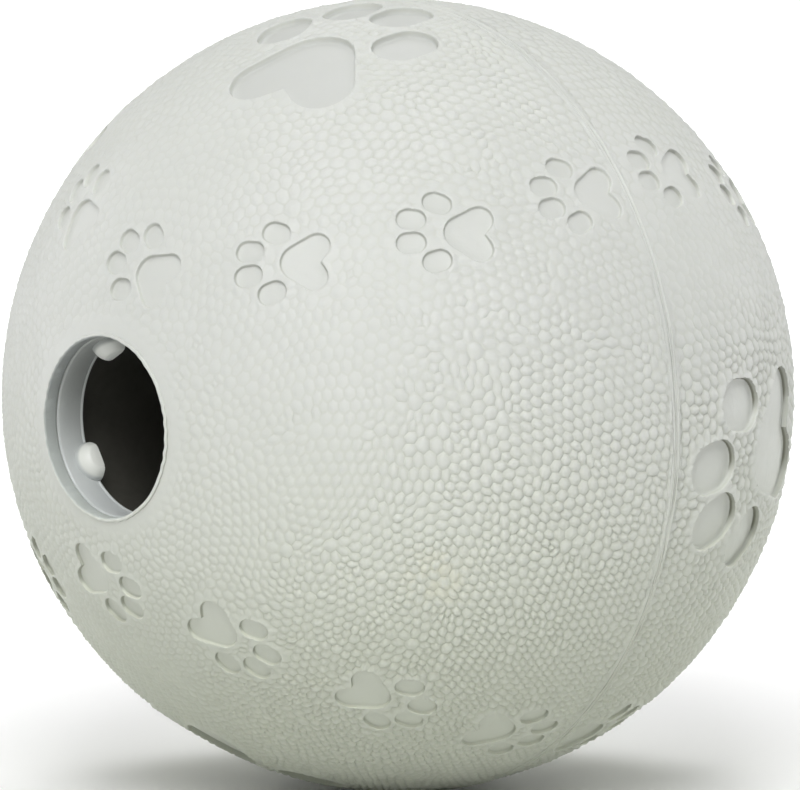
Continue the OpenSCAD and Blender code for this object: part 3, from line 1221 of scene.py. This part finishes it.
@dataclass
class RubberShell:
    """One rubber half of the ball: pebbled skin, sunk prints and a plain hollow.

    Args:
        sizes: Sizes of the ball.
        half: Which half this is.
        walk: Where the prints lie.
        pebble: Distance between neighbouring pebbles.
        groove_depth: Depth of the grooves between them.
        bead: Width and height of the raised bead round the mouth.
        bead_waver: How far it wavers in height and in radius.
        bead_points: Points round its section.
        over: Overrun of the cuts.
        seat_edge: Rounding of the lip's edge over the collar, inwards and upwards.
        steps: Steps round the axis of the rear hollow, the front one and the bead.
        crisp: Angle in degrees from which an edge stays crisp.
        seed: Seed of the grain and of the bead.
    """

    sizes: BallSizes
    half: Half
    walk: PrintWalk
    pebble: float
    groove_depth: float
    bead: Pair = (0.45 * MM, 0.18 * MM)
    bead_waver: Pair = (0.035 * MM, 0.04 * MM)
    bead_points: int = 14
    over: float = 2.0 * MM
    seat_edge: tuple[Pair, ...] = ((0.3 * MM, 0.0), (0.1 * MM, 0.08 * MM), (0.0, 0.3 * MM))
    steps: tuple[int, int, int] = (96, 128, 256)
    crisp: float = 62.0
    seed: int = 1

    @property
    def node(self) -> str:
        """Name of the solid that this piece stands for."""
        return f"shell_{self.half.name.lower()}"

    def build(self, finish: Material) -> Object:
        """Builds the half.

        Args:
            finish: The rubber.

        Returns:
            The finished piece.
        """
        paws = list(self.walk.on_half(self.half))
        grain = PebbleGrain(self.sizes, paws, self.pebble, depth=self.groove_depth, seed=self.seed)
        piece = to_object(f"{self.node}_skin", grain.build(self.half))
        carve(piece, PrintCutter(self.sizes).build(paws))
        if self.half is Half.FRONT:
            carve(piece, self.mouth_bead(), "UNION")
        carve(piece, self.core())
        smooth_to_angle(piece, self.crisp)
        dress(piece, finish)
        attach(piece, "root")
        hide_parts(self.node)
        return piece

    def mouth_bead(self) -> Object:
        """Builds the raised bead round the mouth.

        Returns:
            A closed ring that overlaps the skin.
        """
        width, height = self.bead
        middle = (self.sizes.mouth + width / 2, self.sizes.mouth_height - width / 2 + height)
        turns = [math.tau * k / self.bead_points for k in range(self.bead_points)]
        ring = [(middle[0] + width / 2 * math.cos(a), middle[1] + width / 2 * math.sin(a)) for a in turns]
        shape = lathe(ring, self.steps[2])
        waver = Waver(self.seed)
        for vertex in shape.verts:
            turn = math.atan2(vertex.co.z, vertex.co.x)
            vertex.co.y -= self.bead_waver[0] * waver.at(turn)
            across = 1.0 + self.bead_waver[1] * waver.at(turn, 2.0) / self.sizes.mouth
            vertex.co.x *= across
            vertex.co.z *= across
        return to_object("mouth_bead", shape)

    def core(self) -> Object:
        """Builds the tool that hollows the half, and in front opens the mouth and the collar's seat.

        Returns:
            A closed plug.
        """
        inner, over, count = self.sizes.inner, self.over, 24
        front = self.half is Half.FRONT
        hand = 1.0 if front else -1.0
        first = -math.asin(over / inner)
        last = math.acos((self.sizes.mouth + self.sizes.sleeve) / inner) if front else math.pi / 2
        angles = [first + (last - first) * k / count for k in range(count + 1)]
        profile = [(0.0, -hand * over)] + [(inner * math.cos(a), hand * inner * math.sin(a)) for a in angles]
        if not front:
            profile[-1] = (0.0, -inner)
            return to_object("hollow", lathe(profile, self.steps[0]))
        top = self.sizes.mouth_height
        lip = top - self.sizes.lip
        profile += [(self.sizes.mouth + self.sizes.sleeve, lip)]
        profile += [(self.sizes.mouth + aside, lip + up) for aside, up in self.seat_edge]
        profile += [(self.sizes.mouth, top + over), (0.0, top + over)]
        return to_object("hollow", lathe(profile, self.steps[1]))


@dataclass
class SeamBand:
    """The cured cement between the halves: a narrow flat band with a fine raised line on each edge.

    Args:
        sizes: Sizes of the ball.
        line: Width and height of the raised lines.
        sunk: How far the band lies below the rubber.
        waver: How far the lines waver in height.
        steps: Steps round the axis.
        crisp: Angle in degrees from which an edge stays crisp.
        seed: Seed of the waver.
    """

    sizes: BallSizes
    line: Pair = (0.17 * MM, 0.09 * MM)
    sunk: float = 0.02 * MM
    waver: float = 0.025 * MM
    steps: int = 360
    crisp: float = 50.0
    seed: int = 5

    def build(self, finish: Material) -> Object:
        """Builds the band.

        Args:
            finish: The cement.

        Returns:
            The finished piece.
        """
        width, height = self.line
        edge = self.sizes.seam / 2
        radius = self.sizes.radius
        middle = edge - width / 2
        outer = [(radius - self.sunk, 0.0), (radius - self.sunk / 2, middle - width * 0.6)]
        shares = [k / 6 for k in range(1, 6)]
        crest = [(radius + height * math.sin(math.pi * k), middle + width * (k - 0.5)) for k in shares]
        side = outer[1:] + crest + [(radius - self.sunk, edge)]
        mirrored = [(r, -h) for r, h in reversed(side)]
        profile = [(self.sizes.inner, edge), (self.sizes.inner, -edge)] + mirrored + outer[:1] + side
        shape = lathe(profile, self.steps)
        waver = Waver(self.seed)
        for vertex in shape.verts:
            away = vertex.co.length
            if away > radius:
                turn = math.atan2(vertex.co.z, vertex.co.x)
                lift = waver.at(turn, 1.0 if vertex.co.y > 0 else 2.0)
                vertex.co *= 1.0 + self.waver * lift * (away - radius) / height / radius
        piece = to_object("seam_bond_band", shape)
        smooth_to_angle(piece, self.crisp)
        dress(piece, finish)
        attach(piece, "root")
        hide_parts("seam_bond")
        return piece


@dataclass
class ThroatCollar:
    """The smooth plastic ring in the mouth, with four rounded lugs flush with its inner end.

    Args:
        sizes: Sizes of the ball.
        flange: Width and thickness of the flange that anchors it in the rubber.
        bevel: Bevel at the outer end of its bore.
        straight: Depth of the straight bore below the mouth.
        flare: Widening of the bore from there on.
        chamfer: Chamfer at the inner end of its bore.
        ridge: Width and height of the fine ridge round the bore's inner end.
        ridge_shares: Points of the ridge's section, as shares of its height and width.
        lugs: Number of lugs.
        lug: Radius of a lug.
        crest: How much of its dome is missing at the blunt crest.
        crest_edge: Points of the crest's soft edge, outwards and down from it.
        rooted: How deep a lug stands in the sleeve, as a share of the sleeve.
        reach: How far a lug stands into the bore.
        turn: Turn of the first lug from the +X side, in degrees.
        steps: Steps round the axis of the collar, and round a lug.
        crisp: Angle in degrees from which an edge stays crisp.
    """

    sizes: BallSizes
    flange: Pair = (3.0 * MM, 1.4 * MM)
    bevel: float = 0.35 * MM
    straight: float = 3.0 * MM
    flare: float = 0.2 * MM
    chamfer: float = 0.15 * MM
    ridge: Pair = (0.3 * MM, 0.12 * MM)
    ridge_shares: tuple[Pair, ...] = ((0.7, 0.3), (1.0, 0.6), (0.9, 0.8), (0.0, 1.3))
    lugs: int = 4
    lug: float = 2.4 * MM
    crest: float = 0.35 * MM
    crest_edge: tuple[Pair, ...] = ((0.05 * MM, 0.1 * MM), (-0.2 * MM, 0.02 * MM), (-0.6 * MM, 0.0))
    rooted: float = 0.9
    reach: float = 1.7 * MM
    turn: float = 31.0
    steps: tuple[int, int] = (192, 64)
    crisp: float = 40.0

    def build(self, finish: Material) -> Object:
        """Builds the collar.

        Args:
            finish: The plastic.

        Returns:
            The finished piece.
        """
        piece = to_object("throat_collar_ring", lathe(self.profile(), self.steps[0]))
        for i in range(self.lugs):
            carve(piece, self.lug_dome(self.turn + 360.0 * i / self.lugs), "UNION")
        smooth_to_angle(piece, self.crisp)
        dress(piece, finish)
        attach(piece, "root")
        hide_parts("throat_collar")
        return piece

    def profile(self) -> list[Pair]:
        """Outline of the collar's section.

        Returns:
            Radius and height of each corner.
        """
        bore, wall = self.sizes.mouth, self.sizes.mouth + self.sizes.sleeve
        front = self.sizes.mouth_height - self.sizes.lip
        back = self.sizes.mouth_height - self.sizes.collar_end
        middle, thick = (front + back) / 2, self.flange[1] / 2
        angles = [math.radians(a) for a in (90, 60, 30, 0)]
        round_in = [(self.bevel * (1 - math.sin(a)), self.bevel * (1 - math.cos(a))) for a in angles]
        flared = bore + self.flare
        return [
            *((bore + aside, front - down) for aside, down in round_in),
            (wall, front),
            (wall, middle + thick),
            (wall + self.flange[0], middle + thick),
            (wall + self.flange[0], middle - thick),
            (wall, middle - thick),
            (wall, back),
            (flared + self.chamfer, back),
            *((flared - high * self.ridge[1], back + up * self.ridge[0]) for high, up in self.ridge_shares),
            (bore, self.sizes.mouth_height - self.straight),
        ]

    def lug_dome(self, turn: float) -> Object:
        """Builds one rounded lug.

        Args:
            turn: Its turn from the +X side in degrees.

        Returns:
            A closed dome whose flat side is flush with the collar's inner end.
        """
        back = self.sizes.mouth_height - self.sizes.collar_end
        foot = self.sizes.mouth + self.rooted * self.sizes.sleeve
        top = foot - self.sizes.mouth + self.reach
        middle = top + self.crest - self.lug
        last = math.asin((self.lug - self.crest) / self.lug)
        edge = self.lug * math.cos(last)
        count = 12
        turns = [last * k / count for k in range(count)]
        arc = [(self.lug * math.cos(a), middle + self.lug * math.sin(a)) for a in turns]
        arc += [(edge + aside, top - down) for aside, down in self.crest_edge]
        dome = lathe([(0.0, 0.0), (self.lug, 0.0), *arc, (0.0, top)], self.steps[1])
        upright = rotation(-90.0, "Y") @ Half.FRONT.facing.inverted()
        bmesh.ops.transform(dome, matrix=upright, verts=dome.verts[:])
        cut_off(dome, Vector((0.0, 0.0, TINY)), Vector((0.0, 0.0, 1.0)))
        seat = rotation(turn, "Z") @ Matrix.Translation((foot, 0.0, back))
        bmesh.ops.transform(dome, matrix=Half.FRONT.facing @ seat, verts=dome.verts[:])
        return to_object("lug", dome)


@dataclass
class Labyrinth:
    """The black insert, whose two solids are kept and dressed.

    Args:
        nodes: Names of its solids.
    """

    nodes: tuple[str, ...] = ("labyrinth_right", "labyrinth_left")

    def dress(self, solids: dict[str, Object], finish: Material) -> None:
        """Gives both halves their plastic, among the frame's objects by node."""
        for name in self.nodes:
            dress(solids[name], finish)


@dataclass
class Studio:
    """Pale floor, soft lights and the camera.

    Args:
        radius: Radius of the ball, which rests on the floor.
        distance: Distance of the camera from the ball's centre, in ball radii.
        azimuth: Turn of the camera from the front towards the right, in degrees.
        elevation: Height of the camera above the horizon, in degrees.
        outline: Radius of the ball's outline in the photograph, in pixels.
        aside: How far the ball's middle stands left of the picture's middle, in pixels.
        wide: Width of the photograph in pixels.
        sheet: Distance of the floor's edges from its middle, in ball radii.
        air: Strength of the light from all round.
        sensor: Width of the camera's sensor in millimetres.
        nearest: Least distance that the camera sees, in metres.
    """

    radius: float
    distance: float = 20.0
    azimuth: float = 47.2
    elevation: float = 6.9
    outline: float = 397.0
    aside: float = 2.0
    wide: int = 800
    sheet: float = 90.0
    air: float = 0.057
    sensor: float = 36.0
    nearest: float = 0.01

    @property
    def towards_camera(self) -> Vector:
        """Unit direction from the ball to the camera."""
        turn, rise = math.radians(self.azimuth), math.radians(self.elevation)
        return Vector((math.sin(turn) * math.cos(rise), -math.cos(turn) * math.cos(rise), math.sin(rise)))

    def build(self) -> None:
        """Builds floor, lights and camera."""
        self.floor()
        self.world()
        self.lights()
        self.camera()

    def floor(self) -> None:
        """Lays a wide sheet of pale paper under the ball."""
        sheet = bmesh.new()
        bmesh.ops.create_grid(sheet, x_segments=8, y_segments=8, size=self.sheet * self.radius)
        bmesh.ops.translate(sheet, vec=(0.0, 0.0, -self.radius), verts=sheet.verts[:])
        floor = to_object("studio_floor", sheet)
        floor.data.materials.append(PaperFinish().material())
        floor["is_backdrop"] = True

    def world(self) -> None:
        """Fills the surroundings with soft white light."""
        world = bpy.data.worlds.new("studio_air")
        bpy.context.scene.world = world
        world.use_nodes = True
        back = world.node_tree.nodes["Background"]
        back.inputs["Color"].default_value = (1.0, 1.0, 1.0, 1.0)
        back.inputs["Strength"].default_value = self.air
        bpy.context.scene.view_settings.view_transform = "Standard"

    def lights(self) -> None:
        """Hangs soft lamps round the ball, placed by the view, and one that lights the paper behind it."""
        self.lamp("key_lamp", (-0.02, 0.376, 0.329), size=0.24, power=1.36)
        self.lamp("low_key_lamp", (-0.05, 0.25, 0.43), size=0.3, power=0.86)
        self.lamp("left_rim_lamp", (-0.44, 0.088, -0.22), size=0.35, power=1.0)
        self.lamp("right_rim_lamp", (0.44, 0.088, -0.22), size=0.35, power=1.07)
        self.lamp("left_shadow_lamp", (-0.4, 0.5, -0.1), size=0.4, power=0.42, target=(-0.1, -0.045, -0.1))
        self.lamp("right_shadow_lamp", (0.4, 0.5, -0.1), size=0.4, power=0.51, target=(0.1, -0.045, -0.1))
        self.lamp("back_lamp", (0.0, 0.6, -0.35), size=0.3, power=1.3, target=(0.0, -0.045, -0.3))
        self.lamp("near_paper_lamp", (0.0, 0.6, -0.35), size=0.3, power=8.0, target=(0.0, 0.1, -1.21))
        self.lamp("far_paper_lamp", (0.0, 0.95, -0.8), size=0.5, power=9.2, target=(0.0, 0.33, -1.58))

    def lamp(
        self,
        name: str,
        place: tuple[float, float, float],
        size: float,
        power: float,
        target: tuple[float, float, float] = (0.0, 0.0, 0.0),
    ) -> None:
        """Hangs one square soft lamp, which shines to one side only.

        Args:
            name: Name of the lamp.
            place: Place from the ball's centre, to the right, up and towards the camera, in metres.
            size: Side of the lamp.
            power: Power in watts.
            target: Place that it faces, likewise.
        """
        upward = Vector((0.0, 0.0, 1.0))
        near = self.towards_camera.copy()
        near.z = 0.0
        near.normalize()
        axes = Matrix((upward.cross(near), upward, near)).transposed()
        where = axes @ Vector(place)
        away = where - axes @ Vector(target)
        data = bpy.data.lights.new(name, "AREA")
        data.size = size
        data.energy = power
        lamp = bpy.data.objects.new(name, data)
        bpy.context.scene.collection.objects.link(lamp)
        lamp.matrix_world = Matrix.Translation(where) @ away.to_track_quat("Z", "Y").to_matrix().to_4x4()

    def camera(self) -> None:
        """Sets the camera at the photograph's angle, far off with a long lens."""
        data = bpy.data.cameras.new("photo_camera")
        focal = self.outline / math.tan(math.asin(1.0 / self.distance))
        data.sensor_width = self.sensor
        data.lens = focal * self.sensor / self.wide
        data.shift_x = self.aside / self.wide
        data.clip_start = self.nearest
        camera = bpy.data.objects.new("photo_camera", data)
        bpy.context.scene.collection.objects.link(camera)
        place = self.towards_camera * self.distance * self.radius
        camera.matrix_world = Matrix.Translation(place) @ place.to_track_quat("Z", "Y").to_matrix().to_4x4()
        bpy.context.scene.camera = camera


def main() -> None:
    """Builds the ball piece by piece and reports each one."""
    logging.basicConfig(level=logging.INFO, format="%(name)s: %(message)s")
    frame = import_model()
    solid_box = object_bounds()
    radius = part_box("shell_rear")[1][1]
    sizes = BallSizes(radius)
    walk = PrintWalk()
    rubber = RubberFinish("grey_rubber", radius, sizes.mouth).material()
    cement = RubberFinish("seam_cement", radius, sizes.mouth, pale=(0.6, 0.613, 0.58)).material()
    grey = PlasticFinish(
        "collar_plastic", colour=(0.35, 0.367, 0.35), second=(0.325, 0.34, 0.325), crest=(0.72, 0.735, 0.69)
    ).material()
    black = PlasticFinish(
        "black_plastic", colour=(0.052, 0.051, 0.042), second=(0.06, 0.058, 0.048), rough=(0.5, 0.65)
    ).material()

    front = RubberShell(sizes, Half.FRONT, walk, pebble=1.3 * MM, groove_depth=0.38 * MM, seed=11)
    rear = RubberShell(sizes, Half.REAR, walk, pebble=1.42 * MM, groove_depth=0.45 * MM, seed=23)
    parts = (
        ("front rubber half", front, rubber),
        ("rear rubber half", rear, rubber),
        ("seam band", SeamBand(sizes), cement),
        ("throat collar", ThroatCollar(sizes), grey),
    )
    for words, part, finish in parts:
        piece = part.build(finish)
        piece.data.calc_loop_triangles()
        LOG.info("%s: %s, %d triangles", words, piece.name, len(piece.data.loop_triangles))
    Labyrinth().dress(frame["nodes"], black)
    LOG.info("labyrinth: two solids dressed")
    Studio(radius).build()
    LOG.info("studio: floor, lamps and camera")
    boxes = {"solids": solid_box, "scene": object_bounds()}
    plain = {name: [[float(value) for value in corner] for corner in box] for name, box in boxes.items()}


if __name__ == "__main__":
    main()
